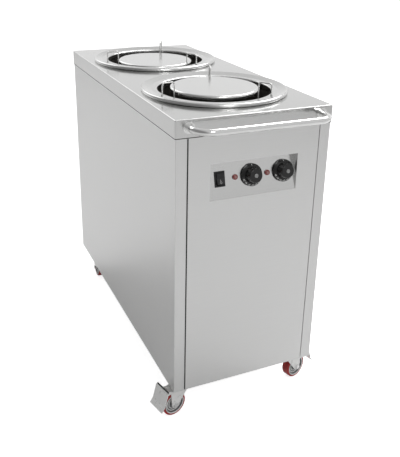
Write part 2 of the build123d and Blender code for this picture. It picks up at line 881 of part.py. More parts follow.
# Power inlet: a flanged socket in the back panel with three pins
inlet_plane = Plane(origin=(inlet_x, end_y, body_bottom + inlet_level), x_dir=(-1, 0, 0), z_dir=(0, 1, 0))
inlet_clearance = 2 * cutout_clearance

with BuildPart() as power_inlet:
    with BuildSketch(inlet_plane):
        RectangleRounded(inlet_width + 2 * inlet_margin, inlet_height + 2 * inlet_margin, inlet_margin)
    extrude(amount=inlet_flange)
    with BuildSketch(inlet_plane):
        Rectangle(inlet_width - inlet_clearance, inlet_height - inlet_clearance)
    extrude(amount=-inlet_depth)
    with BuildSketch(inlet_plane.offset(inlet_flange)):
        RectangleRounded(inlet_width - 2 * inlet_wall, inlet_height - 2 * inlet_wall, inlet_corner)
    extrude(amount=-inlet_flange - inlet_cavity, mode=Mode.SUBTRACT)
    with BuildSketch(inlet_plane.offset(-inlet_cavity)):
        with GridLocations(pin_pitch, 0, 3, 1):
            Rectangle(pin_width, pin_height)
    extrude(amount=pin_length)
finish(power_inlet, "power_inlet")


# Casters: stems with the upper race, forks, wheels and axles, and brake pedals on the front pair
wheel_radius = wheel_diameter / 2
hub_radius = wheel_radius - tread_depth
hub_half = wheel_width / 2 + leg_clearance / 2
leg_inner = wheel_width / 2 + leg_clearance
leg_outer = leg_inner + leg_thickness
crown_middle = crown_bottom + crown_thickness / 2
pedal_pivot = (caster_trail + pedal_pivot_reach, crown_middle)

with BuildPart() as caster_stems:
    for z, amount, radius in (
        (body_bottom, stem_length, stem_radius),
        (race_bottom, race_height, race_radius),
        (rivet_top, race_bottom - rivet_top, king_pin_radius),
        (rivet_bottom, rivet_height, rivet_radius),
    ):
        with BuildSketch(Plane.XY.offset(z)):
            with GridLocations(2 * caster_x, 2 * caster_y, 2, 2):
                Circle(radius)
        extrude(amount=amount)
    with BuildSketch(Plane.XY.offset(race_top)):
        with GridLocations(2 * caster_x, 2 * caster_y, 2, 2):
            RegularPolygon(hex_across / 2, 6, major_radius=False)
    extrude(amount=hex_height)
finish(caster_stems, "caster_stems")


def strip(points, thickness):
    """Closed outline of a bent strip of even thickness along an open line of points."""
    normals = []
    for (x0, z0), (x1, z1) in zip(points, points[1:]):
        run = hypot(x1 - x0, z1 - z0)
        normals.append(((z0 - z1) / run, (x1 - x0) / run))
    offsets = [normals[0]]
    for (ax, az), (bx, bz) in zip(normals, normals[1:]):
        scale = 1 + ax * bx + az * bz
        offsets.append(((ax + bx) / scale, (az + bz) / scale))
    offsets.append(normals[-1])
    half = thickness / 2
    near = [(x + half * nx, z + half * nz) for (x, z), (nx, nz) in zip(points, offsets)]
    far = [(x - half * nx, z - half * nz) for (x, z), (nx, nz) in zip(points, offsets)]
    return near + far[::-1]


def upright(x, y, trail):
    """A caster's own upright plane: local x is the trail direction, local y is up, its normal is the axle."""
    back = (cos(radians(trail)), sin(radians(trail)), 0)
    return Plane(origin=(x, y, 0), x_dir=back, z_dir=(back[1], -back[0], 0))


def fork_piece(plane, floor, braked):
    with BuildPart() as fork:
        with BuildSketch(floor.offset(crown_bottom)):
            Circle(race_radius)
            with Locations((leg_front - leg_thickness, 0)):
                Rectangle(2 * leg_thickness, 2 * leg_outer)
            make_hull()
            Circle(king_pin_radius + running_clearance, mode=Mode.SUBTRACT)
        extrude(amount=crown_thickness)
        for face, amount in ((leg_inner, leg_thickness), (-leg_inner, -leg_thickness)):
            with BuildSketch(plane.offset(face)):
                with Locations(((leg_front - leg_back) / 2, crown_middle)):
                    Rectangle(leg_front + leg_back, crown_thickness)
                with Locations((caster_trail, wheel_radius)):
                    Circle(axle_boss_radius)
                make_hull()
                with Locations((caster_trail, wheel_radius)):
                    Circle(axle_radius + running_clearance, mode=Mode.SUBTRACT)
            extrude(amount=amount)
            if braked:
                with BuildSketch(plane.offset(face)):
                    with Locations((leg_front - crown_thickness / 2, crown_middle)):
                        Rectangle(crown_thickness, crown_thickness)
                    with Locations(pedal_pivot):
                        Circle(pedal_ear_radius)
                    make_hull()
                    with Locations(pedal_pivot):
                        Circle(pedal_pin_radius + running_clearance, mode=Mode.SUBTRACT)
                extrude(amount=amount)
    return fork


def axle_piece(plane):
    with BuildPart() as axle:
        with BuildSketch(plane):
            with Locations((caster_trail, wheel_radius)):
                Circle(axle_radius)
        extrude(amount=leg_outer + axle_nut_height, both=True)
        for face, amount in ((leg_outer, axle_nut_height), (-leg_outer, -axle_nut_height)):
            with BuildSketch(plane.offset(face)):
                with Locations((caster_trail, wheel_radius)):
                    RegularPolygon(axle_nut_across / 2, 6, major_radius=False)
            extrude(amount=amount)
    return axle


def wheel_section(plane):
    """Section plane of a wheel: local x runs along the axle, local y is the radius."""
    centre = plane.from_local_coords((caster_trail, wheel_radius, 0))
    return Plane(origin=centre, x_dir=plane.z_dir, z_dir=plane.x_dir * -1), Axis(centre, plane.z_dir)


def hub_piece(plane):
    section, axis = wheel_section(plane)
    bore = axle_radius + running_clearance
    rim_r = hub_radius - hub_rim
    half_rim = wheel_width / 2
    half_web = hub_web_width / 2
    with BuildPart() as hub:
        with BuildSketch(section):
            with BuildLine():
                Polyline(
                    (-hub_half, bore),
                    (-hub_half, hub_boss_radius),
                    (-half_web, hub_boss_radius),
                    (-half_web, rim_r - hub_groove),
                    (-half_rim + hub_groove, rim_r),
                    (-half_rim, hub_radius - hub_groove),
                    (-half_rim, hub_radius),
                    (half_rim, hub_radius),
                    (half_rim, hub_radius - hub_groove),
                    (half_rim - hub_groove, rim_r),
                    (half_web, rim_r - hub_groove),
                    (half_web, hub_boss_radius),
                    (hub_half, hub_boss_radius),
                    (hub_half, bore),
                    close=True,
                )
            make_face()
        revolve(axis=axis)
    return hub


def tread_piece(plane):
    section, axis = wheel_section(plane)
    with BuildPart() as tread:
        with BuildSketch(section) as outline:
            with Locations((0, hub_radius + tread_depth / 2)):
                Rectangle(wheel_width, tread_depth)
            shoulders = [v for v in outline.vertices() if (v.center() - axis.position).length > wheel_radius]
            fillet(shoulders, tread_shoulder)
        revolve(axis=axis)
    return tread


def pedal_piece(plane):
    knuckle_half = leg_inner - pedal_ear_gap / 2
    head = (pedal_pivot[0] + pedal_lead, pedal_pivot[1] + pedal_rise)
    foot = (head[0] + pedal_reach, head[1] - pedal_drop)
    lip = (foot[0] + pedal_lip_reach, foot[1] - pedal_lip_drop)
    with BuildPart() as pedal:
        with BuildSketch(plane):
            with BuildLine():
                Polyline(*strip([head, foot, lip], pedal_thickness), close=True)
            make_face()
        extrude(amount=pedal_width / 2, both=True)
        with BuildSketch(plane):
            with Locations(pedal_pivot):
                Circle(pedal_knuckle_radius)
        extrude(amount=knuckle_half, both=True)
        with BuildSketch(plane):
            with Locations(pedal_pivot):
                Circle(pedal_pin_radius)
        extrude(amount=leg_outer + pedal_ear_gap, both=True)
    return pedal


for corner, trail in caster_trails.items():
    x = caster_x if corner.endswith("right") else -caster_x
    y = -caster_y if corner.startswith("front") else caster_y
    plane = upright(x, y, trail)
    floor = Plane(origin=(x, y, 0), x_dir=plane.x_dir)
    braked = corner.startswith("front")
    finish(fork_piece(plane, floor, braked), f"{corner}_fork")
    finish(axle_piece(plane), f"{corner}_axle")
    finish(hub_piece(plane), f"{corner}_hub")
    finish(tread_piece(plane), f"{corner}_tread")
    if braked:
        finish(pedal_piece(plane), f"{corner}_brake_pedal")
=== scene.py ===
import json
import math
import bmesh
import bpy
from mathutils import Matrix, Vector


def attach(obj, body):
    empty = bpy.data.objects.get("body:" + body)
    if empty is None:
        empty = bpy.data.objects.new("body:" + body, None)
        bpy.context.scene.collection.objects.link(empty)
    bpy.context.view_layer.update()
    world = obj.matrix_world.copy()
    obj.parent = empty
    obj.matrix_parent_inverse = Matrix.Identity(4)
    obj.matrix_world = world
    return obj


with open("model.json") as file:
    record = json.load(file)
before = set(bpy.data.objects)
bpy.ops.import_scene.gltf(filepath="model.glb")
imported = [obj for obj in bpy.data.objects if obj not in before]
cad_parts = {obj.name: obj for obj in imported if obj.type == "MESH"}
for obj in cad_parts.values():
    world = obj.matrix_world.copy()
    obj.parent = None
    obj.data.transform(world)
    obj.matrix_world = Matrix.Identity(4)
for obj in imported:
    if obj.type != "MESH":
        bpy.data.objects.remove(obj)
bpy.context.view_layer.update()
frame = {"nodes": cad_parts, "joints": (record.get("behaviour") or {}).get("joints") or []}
nodes = frame["nodes"]
joints = {j["name"]: j for j in frame["joints"]}

X = Vector((1, 0, 0))
Y = Vector((0, 1, 0))
Z = Vector((0, 0, 1))
CORNERS = ("front_left", "front_right", "rear_left", "rear_right")


# Materials

def shader(name):
    """New material with its node tree and shader."""
    mat = bpy.data.materials.new(name)
    mat.use_nodes = True
    return mat, mat.node_tree, mat.node_tree.nodes["Principled BSDF"]


def noise(tree, scale, detail=4.0, roughness=0.55):
    """Noise in object coordinates; scale is three counts per metre, low along the grain."""
    coords = tree.nodes.new("ShaderNodeTexCoord")
    mapping = tree.nodes.new("ShaderNodeMapping")
    mapping.inputs["Scale"].default_value = scale
    tex = tree.nodes.new("ShaderNodeTexNoise")
    tex.inputs["Scale"].default_value = 1.0
    tex.inputs["Detail"].default_value = detail
    tex.inputs["Roughness"].default_value = roughness
    tree.links.new(coords.outputs["Object"], mapping.inputs["Vector"])
    tree.links.new(mapping.outputs["Vector"], tex.inputs["Vector"])
    return tex.outputs["Fac"]


# The middle of a noise value, which colours and gloss are spread over
NOISE_LOW = 0.3
NOISE_HIGH = 0.7
STREAK_RELIEF = 0.001
MOULD_RELIEF = 0.0004
MOULD_DETAIL = 3.0
MOULD_ROUGH_SPREAD = 0.05
BROAD_SCALE = (60.0, 60.0, 60.0)
COAT_ROUGH = 0.15


def ramp(tree, fac, low, high):
    """Colour ramp from low to high over a noise value."""
    node = tree.nodes.new("ShaderNodeValToRGB")
    first, last = node.color_ramp.elements
    first.position = NOISE_LOW
    last.position = NOISE_HIGH
    first.color = (*low, 1)
    last.color = (*high, 1)
    tree.links.new(fac, node.inputs["Fac"])
    return node.outputs["Color"]


def spread(tree, fac, low, high):
    """Map the middle of a noise value on to a range."""
    node = tree.nodes.new("ShaderNodeMapRange")
    node.inputs["From Min"].default_value = NOISE_LOW
    node.inputs["From Max"].default_value = NOISE_HIGH
    node.inputs["To Min"].default_value = low
    node.inputs["To Max"].default_value = high
    tree.links.new(fac, node.inputs["Value"])
    return node.outputs["Result"]


def bump(tree, bsdf, height, strength, distance):
    """Let a noise value raise the surface."""
    node = tree.nodes.new("ShaderNodeBump")
    node.inputs["Strength"].default_value = strength
    node.inputs["Distance"].default_value = distance
    tree.links.new(height, node.inputs["Height"])
    tree.links.new(node.outputs["Normal"], bsdf.inputs["Normal"])


def tone(colour, factor):
    """Colour made lighter or darker."""
    return tuple(min(1.0, c * factor) for c in colour)


def tint(tree, bsdf, fac, colour, variation, rough, rough_spread):
    """Let a noise value vary the colour and the gloss."""
    shade = ramp(tree, fac, tone(colour, 1 - variation), tone(colour, 1 + variation))
    tree.links.new(shade, bsdf.inputs["Base Color"])
    gloss = spread(tree, fac, rough - rough_spread, rough + rough_spread)
    tree.links.new(gloss, bsdf.inputs["Roughness"])


def metal(name, colour, rough, grain, variation=0.05, scratch=0.03, rough_spread=0.06):
    """Rolled or brushed metal: long streaks along the grain in colour, gloss and height."""
    mat, tree, bsdf = shader(name)
    bsdf.inputs["Metallic"].default_value = 1.0
    streaks = noise(tree, grain)
    tint(tree, bsdf, streaks, colour, variation, rough, rough_spread)
    bump(tree, bsdf, streaks, scratch, STREAK_RELIEF)
    return mat


def moulded(name, colour, rough, speckle=900.0, variation=0.2, grain=0.1, coat=0.0, metallic=0.0):
    """Moulded or cast material with a fine even texture."""
    mat, tree, bsdf = shader(name)
    bsdf.inputs["Metallic"].default_value = metallic
    bsdf.inputs["Coat Weight"].default_value = coat
    bsdf.inputs["Coat Roughness"].default_value = COAT_ROUGH
    fine = noise(tree, (speckle, speckle, speckle), MOULD_DETAIL)
    broad = noise(tree, BROAD_SCALE, MOULD_DETAIL)
    tint(tree, bsdf, broad, colour, variation, rough, MOULD_ROUGH_SPREAD)
    bump(tree, bsdf, fine, grain, MOULD_RELIEF)
    return mat


STEEL = (0.74, 0.74, 0.735)
ALONG_Y = (500, 9, 500)
ALONG_X = (9, 500, 500)
ALONG_Z = (120, 120, 15)
top_steel = metal("top_steel", (0.66, 0.66, 0.655), 0.15, ALONG_Y, 0.015, 0.006, 0.03)
side_steel = metal("side_steel", STEEL, 0.33, ALONG_Y, 0.015, 0.008, 0.03)
front_steel = metal("front_steel", STEEL, 0.32, ALONG_X, 0.012, 0.008, 0.03)
recess_steel = metal("recess_steel", STEEL, 0.20, ALONG_X, 0.012, 0.006, 0.03)
disc_steel = metal("disc_steel", STEEL, 0.20, (400, 12, 400), 0.015, 0.006, 0.03)
ring_steel = metal("ring_steel", (0.68, 0.68, 0.675), 0.22, (260, 260, 260), 0.02, 0.008, 0.02)
bright_steel = metal("bright_steel", (0.84, 0.84, 0.835), 0.08, (180, 180, 180), 0.02, 0.008, 0.02)
inner_steel = metal("inner_steel", (0.5, 0.5, 0.5), 0.45, ALONG_Z, 0.12, 0.04)
# The wells' tubes are dark grey: painted shade for the inside of the deep, narrow wells
tube_shade_dark = metal("tube_shade_dark", (0.16, 0.15, 0.138), 0.5, ALONG_Z, 0.2, 0.04)
tray_dark = metal("tray_dark", (0.035, 0.034, 0.033), 0.55, ALONG_Z, 0.2, 0.04)
heater_dark = metal("heater_dark", (0.14, 0.13, 0.12), 0.5, (300, 300, 300), 0.25, 0.05)
zinc = metal("zinc", (0.74, 0.745, 0.75), 0.26, (350, 350, 350), 0.08, 0.03, 0.08)
nut_zinc = metal("nut_zinc", (0.84, 0.84, 0.84), 0.18, (500, 500, 500), 0.06, 0.02, 0.05)
plate_zinc = moulded("plate_zinc", (0.90, 0.90, 0.89), 0.30, 700.0, 0.03, 0.04, metallic=0.15)
wire_steel = moulded("wire_steel", (0.80, 0.80, 0.79), 0.22, 700.0, 0.04, 0.03, metallic=0.6)
hub_grey = moulded("hub_grey", (0.24, 0.24, 0.245), 0.32, variation=0.10, metallic=0.4)
# Pale grey for the knob caps, partly a painted highlight for the glint at each knob's middle
cap_and_glint_grey = moulded("cap_and_glint_grey", (0.32, 0.32, 0.32), 0.24, variation=0.08, metallic=0.5)
black_plastic = moulded("black_plastic", (0.010, 0.010, 0.011), 0.30)
knob_black = moulded("knob_black", (0.012, 0.012, 0.012), 0.17, grain=0.05)
# Near-black for the pedal pads, and painted shadow in the strips standing for the dark gaps under the lid's
# apron and beside the left stile
shadow_strip_and_pad_black = moulded("shadow_strip_and_pad_black", (0.012, 0.012, 0.012), 0.55)
brown_plastic = moulded("brown_plastic", (0.05, 0.042, 0.036), 0.5)
nylon = moulded("nylon", (0.80, 0.79, 0.74), 0.45, variation=0.05)
tread_red = moulded("tread_red", (0.42, 0.014, 0.012), 0.34, 500.0, 0.18, 0.12, 0.25)
lens_red = moulded("lens_red", (0.27, 0.060, 0.056), 0.32, 700.0, 0.15, 0.06, 0.3)
lens_pale = moulded("lens_pale", (0.36, 0.20, 0.19), 0.34, 900.0, 0.10, 0.06)
print_white = moulded("print_white", (0.78, 0.78, 0.77), 0.5, 1500.0, 0.06, 0.05)
print_grey = moulded("print_grey", (0.55, 0.54, 0.53), 0.5, 1500.0, 0.06, 0.05)

WEAR = {
    "top_panel": top_steel,
    "left_side_panel": side_steel,
    "right_side_panel": side_steel,
    "front_panel": front_steel,
    "back_panel": front_steel,
    "base_pan": side_steel,
    "control_recess": recess_steel,
    "corner_posts": inner_steel,
    "stem_sockets": black_plastic,
    "switch_housing": black_plastic,
    "switch_rocker": black_plastic,
    "indicator_housings": black_plastic,
    "indicator_lenses": lens_red,
    "thermostats": brown_plastic,
    "left_knob": knob_black,
    "right_knob": knob_black,
    "left_spindle": inner_steel,
    "right_spindle": inner_steel,
    "push_handle": bright_steel,
    "handle_collars": bright_steel,
    "handle_bolts": nut_zinc,
    "heaters": heater_dark,
    "heater_trays": tray_dark,
    "power_inlet": black_plastic,
    "caster_stems": zinc,
}
for well in ("front", "rear"):
    WEAR[f"{well}_ring"] = ring_steel
    WEAR[f"{well}_tube"] = tube_shade_dark
    WEAR[f"{well}_carrier"] = disc_steel
    WEAR[f"{well}_slides"] = nylon
    WEAR[f"{well}_springs"] = inner_steel
    for place in ("left", "right", "back"):
        WEAR[f"{well}_{place}_guide"] = wire_steel
for corner in CORNERS:
    WEAR[f"{corner}_fork"] = plate_zinc
    WEAR[f"{corner}_axle"] = nut_zinc
    WEAR[f"{corner}_hub"] = hub_grey
    WEAR[f"{corner}_tread"] = tread_red
    if corner.startswith("front"):
        WEAR[f"{corner}_brake_pedal"] = plate_zinc

for name, mat in WEAR.items():
    data = nodes[name].data
    data.materials.clear()
    data.materials.append(mat)


# Helpers for the small pieces that the solids don't carry

FULL_TURN = 64
CAP_TURN = 48
SMALL_TURN = 32
FIGURE_RELIEF = 0.00008
FIGURE_WEIGHT = 0.00008


def piece(name, mesh, matrix, body, mat):
    """Add a mesh to the scene and let it ride on a body."""
    obj = bpy.data.objects.new(name, mesh)
    bpy.context.scene.collection.objects.link(obj)
    obj.matrix_world = matrix
    obj.data.materials.clear()
    obj.data.materials.append(mat)
    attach(obj, body)


def to_mesh(name, bm):
    """Turn a bmesh into a mesh and let it go."""
    mesh = bpy.data.meshes.new(name)
    bm.to_mesh(mesh)
    bm.free()
    return mesh


def lathe(name, profile, segments=FULL_TURN):
    """Closed profile of (radius, height) points turned about local Z; radius 0 closes on the axis."""
    bm = bmesh.new()
    angles = [2 * math.pi * i / segments for i in range(segments)]
    rings = []
    for r, z in profile:
        if r == 0:
            rings.append([bm.verts.new((0, 0, z))])
        else:
            rings.append([bm.verts.new((r * math.cos(a), r * math.sin(a), z)) for a in angles])
    for a, b in zip(rings, rings[1:] + rings[:1]):
        if len(a) == 1 and len(b) == 1:
            continue
        for i in range(segments):
            k = (i + 1) % segments
            if len(a) == 1:
                bm.faces.new((a[0], b[i], b[k]))
            elif len(b) == 1:
                bm.faces.new((a[i], b[0], a[k]))
            else:
                bm.faces.new((a[i], b[i], b[k], a[k]))
    bmesh.ops.recalc_face_normals(bm, faces=bm.faces)
    for face in bm.faces:
        face.smooth = True
    return to_mesh(name, bm)


def slab(name, width, height, depth, edge):
    """Small bar with rounded edges."""
    bm = bmesh.new()
    bmesh.ops.create_cube(bm, size=1.0)
    bmesh.ops.scale(bm, vec=(width, height, depth), verts=bm.verts)
    bmesh.ops.bevel(bm, geom=bm.edges, offset=edge, segments=2, affect="EDGES", profile=0.5)
    return to_mesh(name, bm)


def figure(name, text, size):
    """Raised dial figure as a mesh."""
    curve = bpy.data.curves.new(name, "FONT")
    curve.body = text
    curve.size = size
    curve.extrude = FIGURE_RELIEF
    curve.offset = FIGURE_WEIGHT
    curve.align_x = "CENTER"
    curve.align_y = "CENTER"
    holder = bpy.data.objects.new(name, curve)
    mesh = bpy.data.meshes.new_from_object(holder)
    bpy.data.objects.remove(holder)
    bpy.data.curves.remove(curve)
    return mesh


def basis(origin, x, y, z):
    """Frame with its origin at a point and its axes along three unit vectors."""
    matrix = Matrix((x, y, z)).transposed().to_4x4()
    matrix.translation = origin
    return matrix


fascia_z = Vector(joints["left_dial_turn"]["axis"]).normalized()
fascia_y = fascia_z.cross(X)

# Dial figures, ticks, index and cap on each knob; the cap is partly a painted highlight for the glint at the
# knob's middle; heights are measured from the fascia
SKIRT_LOW = (0.030, 0.006)
SKIRT_HIGH = (0.0236, 0.010)
GRIP_TOP = 0.0298
FIGURES = (
    ("30", 202), ("40", 224), ("50", 246), ("60", 268), ("70", 290), ("80", 312), ("90", 334), ("100", 358),
)
FIGURE_SIZE = 0.0056
FIGURE_SHARE = 0.5
TICK = (0.0006, 0.0022, 0.00016, 0.00004)
TICK_START = 202
TICK_STEP = 11
TICKS = range(1, 15, 2)
MARK_SHARE = 0.45
INDEX = (0.0012, 0.0046, 0.00018, 0.00004)
INDEX_ANGLE = 90
KNOB_CAP_AND_GLINT = [
    (0, 0), (0.0054, 0), (0.0054, 0.0006), (0.0048, 0.0012), (0.0034, 0.0008), (0.0016, 0.0006), (0, 0.0006),
]
slope = Vector((SKIRT_HIGH[0] - SKIRT_LOW[0], SKIRT_HIGH[1] - SKIRT_LOW[1])).normalized()


def on_skirt(centre, angle, share):
    """Frame on the skirt's cone: x round the dial, y outward down the slope, z off the surface."""
    a = math.radians(angle)
    outward = X * math.cos(a) + fascia_y * math.sin(a)
    r = SKIRT_LOW[0] + (SKIRT_HIGH[0] - SKIRT_LOW[0]) * share
    w = SKIRT_LOW[1] + (SKIRT_HIGH[1] - SKIRT_LOW[1]) * share
    down = -(outward * slope.x + fascia_z * slope.y)
    off = (fascia_z * -slope.x + outward * slope.y).normalized()
    return basis(centre + outward * r + fascia_z * w, down.cross(off), down, off)


for dial in ("left", "right"):
    centre = Vector(joints[f"{dial}_dial_turn"]["pos_m"])
    body = f"{dial}_dial"
    for text, angle in FIGURES:
        name = f"{dial}_dial_{text}"
        seat = on_skirt(centre, angle, FIGURE_SHARE)
        piece(name, figure(name, text, FIGURE_SIZE), seat, body, print_white)
    for i in TICKS:
        name = f"{dial}_tick_{i}"
        seat = on_skirt(centre, TICK_START + TICK_STEP * i, MARK_SHARE)
        piece(name, slab(name, *TICK), seat, body, print_white)
    # Small grey cap in the middle of the grip, its pale grey partly a painted highlight
    name = f"{dial}_knob_cap_glint"
    seat = basis(centre + fascia_z * GRIP_TOP, X, fascia_y, fascia_z)
    piece(name, lathe(name, KNOB_CAP_AND_GLINT, CAP_TURN), seat, body, cap_and_glint_grey)
    name = f"{dial}_index"
    seat = on_skirt(centre, INDEX_ANGLE, MARK_SHARE)
    piece(name, slab(name, *INDEX), seat, body, print_white)

# Pale centre on each lamp's lens; the lamps stand one pitch either side of the left dial
LAMP_PITCH = 0.0475
LENS_FACE = 0.0055
LAMP_EYE = [(0, 0), (0.0034, 0), (0.0034, 0.0002), (0.0026, 0.0005), (0.0012, 0.0004), (0, 0.0006)]
dial_centre = Vector(joints["left_dial_turn"]["pos_m"])
for lamp, u in (("left", -LAMP_PITCH), ("right", LAMP_PITCH)):
    name = f"{lamp}_lamp_eye"
    seat = basis(dial_centre + X * u + fascia_z * LENS_FACE, X, fascia_y, fascia_z)
    piece(name, lathe(name, LAMP_EYE, SMALL_TURN), seat, "chassis", lens_pale)

# Marks on the proud half of the rocker: a bar over a ring
ROCKER_TILT = math.radians(8)
ROCKER_END = (-0.0147, 0.0090)
ROCKER_DIP = (0.0, 0.0065)
RING_MARK = [(0.0022, -0.0002), (0.0031, -0.0002), (0.0031, 0.0002), (0.0022, 0.0002)]
RING_MARK_SHARE = 0.36
BAR_MARK = (0.0010, 0.0050, 0.0004, 0.0001)
BAR_MARK_SHARE = 0.70
rocker_pivot = Vector(joints["rocker_tilt"]["pos_m"])
rocker_along = fascia_y * math.cos(ROCKER_TILT) - fascia_z * math.sin(ROCKER_TILT)
rocker_off = X.cross(rocker_along)


def on_rocker(share):
    """Frame on the rocker's lower face, a share of the way from its end to the dip."""
    a = ROCKER_END[0] + (ROCKER_DIP[0] - ROCKER_END[0]) * share
    w = ROCKER_END[1] + (ROCKER_DIP[1] - ROCKER_END[1]) * share
    rise = rocker_along * (ROCKER_DIP[0] - ROCKER_END[0]) + rocker_off * (ROCKER_DIP[1] - ROCKER_END[1])
    rise.normalize()
    return basis(rocker_pivot + rocker_along * a + rocker_off * w, X, rise, X.cross(rise))


ring_mark = lathe("rocker_ring_mark", RING_MARK, SMALL_TURN)
piece("rocker_ring_mark", ring_mark, on_rocker(RING_MARK_SHARE), "rocker", print_grey)
bar_mark = slab("rocker_bar_mark", *BAR_MARK)
piece("rocker_bar_mark", bar_mark, on_rocker(BAR_MARK_SHARE), "rocker", print_grey)

# Grooved shells of the swivel races, and ridges and rim covers on the wheels
RACE_LEVEL = 0.0875
RACE_SHELL = [
    (0.0205, 0.0), (0.0222, 0.0012), (0.0222, 0.0040), (0.0212, 0.0047), (0.0212, 0.0058),
    (0.0222, 0.0065), (0.0222, 0.0093), (0.0205, 0.0105), (0.0130, 0.0105), (0.0130, 0.0),
]
WEB_FACE = 0.007
RIDGE_RADII = (("hub_ridge", 0.0160), ("rim_ridge", 0.0225))
RIDGE = [(0.0, -0.0004), (0.0024, -0.0004), (0.0022, 0.0010), (0.0012, 0.0014), (0.0002, 0.0010)]
RIM_COVER = [(0.0285, 0.0108), (0.0313, 0.0108), (0.0313, 0.0128), (0.0300, 0.0131), (0.0287, 0.0122)]
for corner in CORNERS:
    stem = Vector(joints[f"{corner}_swivel_turn"]["pos_m"])
    name = f"{corner}_race_shell"
    seat = Matrix.Translation((stem.x, stem.y, RACE_LEVEL))
    piece(name, lathe(name, RACE_SHELL), seat, "chassis", zinc)
    axle = Vector(joints[f"{corner}_wheel_spin"]["axis"]).normalized()
    wheel = Vector(joints[f"{corner}_wheel_spin"]["pos_m"])
    body = f"{corner}_wheel"
    for face, z in (("outer", axle), ("inner", -axle)):
        x = z.cross(Z).normalized()
        y = z.cross(x)
        for ridge, r in RIDGE_RADII:
            name = f"{corner}_{face}_{ridge}"
            mesh = lathe(name, [(r + across, height) for across, height in RIDGE])
            piece(name, mesh, basis(wheel + z * WEB_FACE, x, y, z), body, plate_zinc)
        name = f"{corner}_{face}_rim_cover"
        piece(name, lathe(name, RIM_COVER), basis(wheel, x, y, z), body, plate_zinc)

# Pads and ribs on the brake pedals; places are measured out and up from the pedal's pin
PAD = (0.056, 0.0100, 0.0028, 0.0008)
PAD_PLACE = (0.0034, 0.0135)
TONGUE_FOOT = (0.0175, -0.0275)
TONGUE_LIP = (0.0280, -0.0415)
RIB = (0.052, 0.0022, 0.0014, 0.0005)
RIB_SHARES = (0.35, 0.62, 0.89)
RIB_LIFT = 0.0014
for corner in ("front_left", "front_right"):
    pin = Vector(joints[f"{corner}_brake_press"]["pos_m"])
    across = Vector(joints[f"{corner}_brake_press"]["axis"]).normalized()
    trail = across.cross(Z)
    body = f"{corner}_brake"
    name = f"{corner}_pedal_pad"
    seat = basis(pin + trail * PAD_PLACE[0] + Z * PAD_PLACE[1], across, Z, trail)
    piece(name, slab(name, *PAD), seat, body, shadow_strip_and_pad_black)
    foot = pin + trail * TONGUE_FOOT[0] + Z * TONGUE_FOOT[1]
    lip = pin + trail * TONGUE_LIP[0] + Z * TONGUE_LIP[1]
    off = (lip - foot).normalized().cross(across)
    if off.dot(trail) < 0:
        off = -off
    for k, share in enumerate(RIB_SHARES):
        name = f"{corner}_pedal_rib_{k}"
        seat = basis(foot + (lip - foot) * share + off * RIB_LIFT, across, off.cross(across), off)
        piece(name, slab(name, *RIB), seat, body, plate_zinc)

# Near-black strips that paint the shadow in the gaps: one under the lid's apron all round, and one beside
# the front panel's left stile
APRON_OUTER = (0.2246, 0.4996, 0.0026)
APRON_INNER = (0.22305, 0.49805, 0.0012)
APRON_LEVELS = (0.8478, 0.8499)
STILE_SHADOW_STRIP = (0.0034, 0.0010, 0.738, 0.0003)
STILE_PLACE = (-0.1904, -0.49835, 0.477)
CORNER_STEPS = 6


def rounded_outline(half_x, half_y, radius):
    """Points of a rectangle with rounded corners."""
    points = []
    for sx, sy, start in ((1, 1, 0), (-1, 1, 90), (-1, -1, 180), (1, -1, 270)):
        for k in range(CORNER_STEPS + 1):
            a = math.radians(start + 90 * k / CORNER_STEPS)
            x = sx * (half_x - radius) + radius * math.cos(a)
            y = sy * (half_y - radius) + radius * math.sin(a)
            points.append((x, y))
    return points


def band(name, outer, inner, low, high):
    """Upright band between two outlines of as many points."""
    bm = bmesh.new()
    edges = ((outer, low), (outer, high), (inner, high), (inner, low))
    loops = [[bm.verts.new((x, y, z)) for x, y in line] for line, z in edges]
    for a, b in zip(loops, loops[1:] + loops[:1]):
        for i in range(len(a)):
            k = (i + 1) % len(a)
            bm.faces.new((a[i], a[k], b[k], b[i]))
    bmesh.ops.recalc_face_normals(bm, faces=bm.faces)
    return to_mesh(name, bm)


# Painted shadow: a near-black band along the shade line under the lid's apron
apron_shadow_strip = band("apron_shadow_strip", rounded_outline(*APRON_OUTER), rounded_outline(*APRON_INNER), *APRON_LEVELS)
piece("apron_shadow_strip", apron_shadow_strip, Matrix.Identity(4), "chassis", shadow_strip_and_pad_black)
# Painted shadow: a near-black strip in the shade of the gap beside the left stile
stile_shadow_strip = slab("stile_shadow_strip", *STILE_SHADOW_STRIP)
piece("stile_shadow_strip", stile_shadow_strip, Matrix.Translation(STILE_PLACE), "chassis", shadow_strip_and_pad_black)

# Button-head screws down the edges of the back panel
SCREW = [
    (0, 0.0010), (0.0016, 0.0010), (0.0018, 0.0023), (0.0032, 0.0019), (0.0043, 0.0006), (0.0045, 0), (0, 0),
]
SCREW_COLUMNS = (-0.181, 0.181)
SCREW_LEVELS = (0.17, 0.39, 0.61, 0.82)
BACK_FACE = 0.498
screw_places = [(x, z) for x in SCREW_COLUMNS for z in SCREW_LEVELS]
for i, (x, z) in enumerate(screw_places):
    name = f"back_screw_{i}"
    seat = basis(Vector((x, BACK_FACE, z)), X, -Z, Y)
    piece(name, lathe(name, SCREW, SMALL_TURN), seat, "chassis", nut_zinc)


# Floor

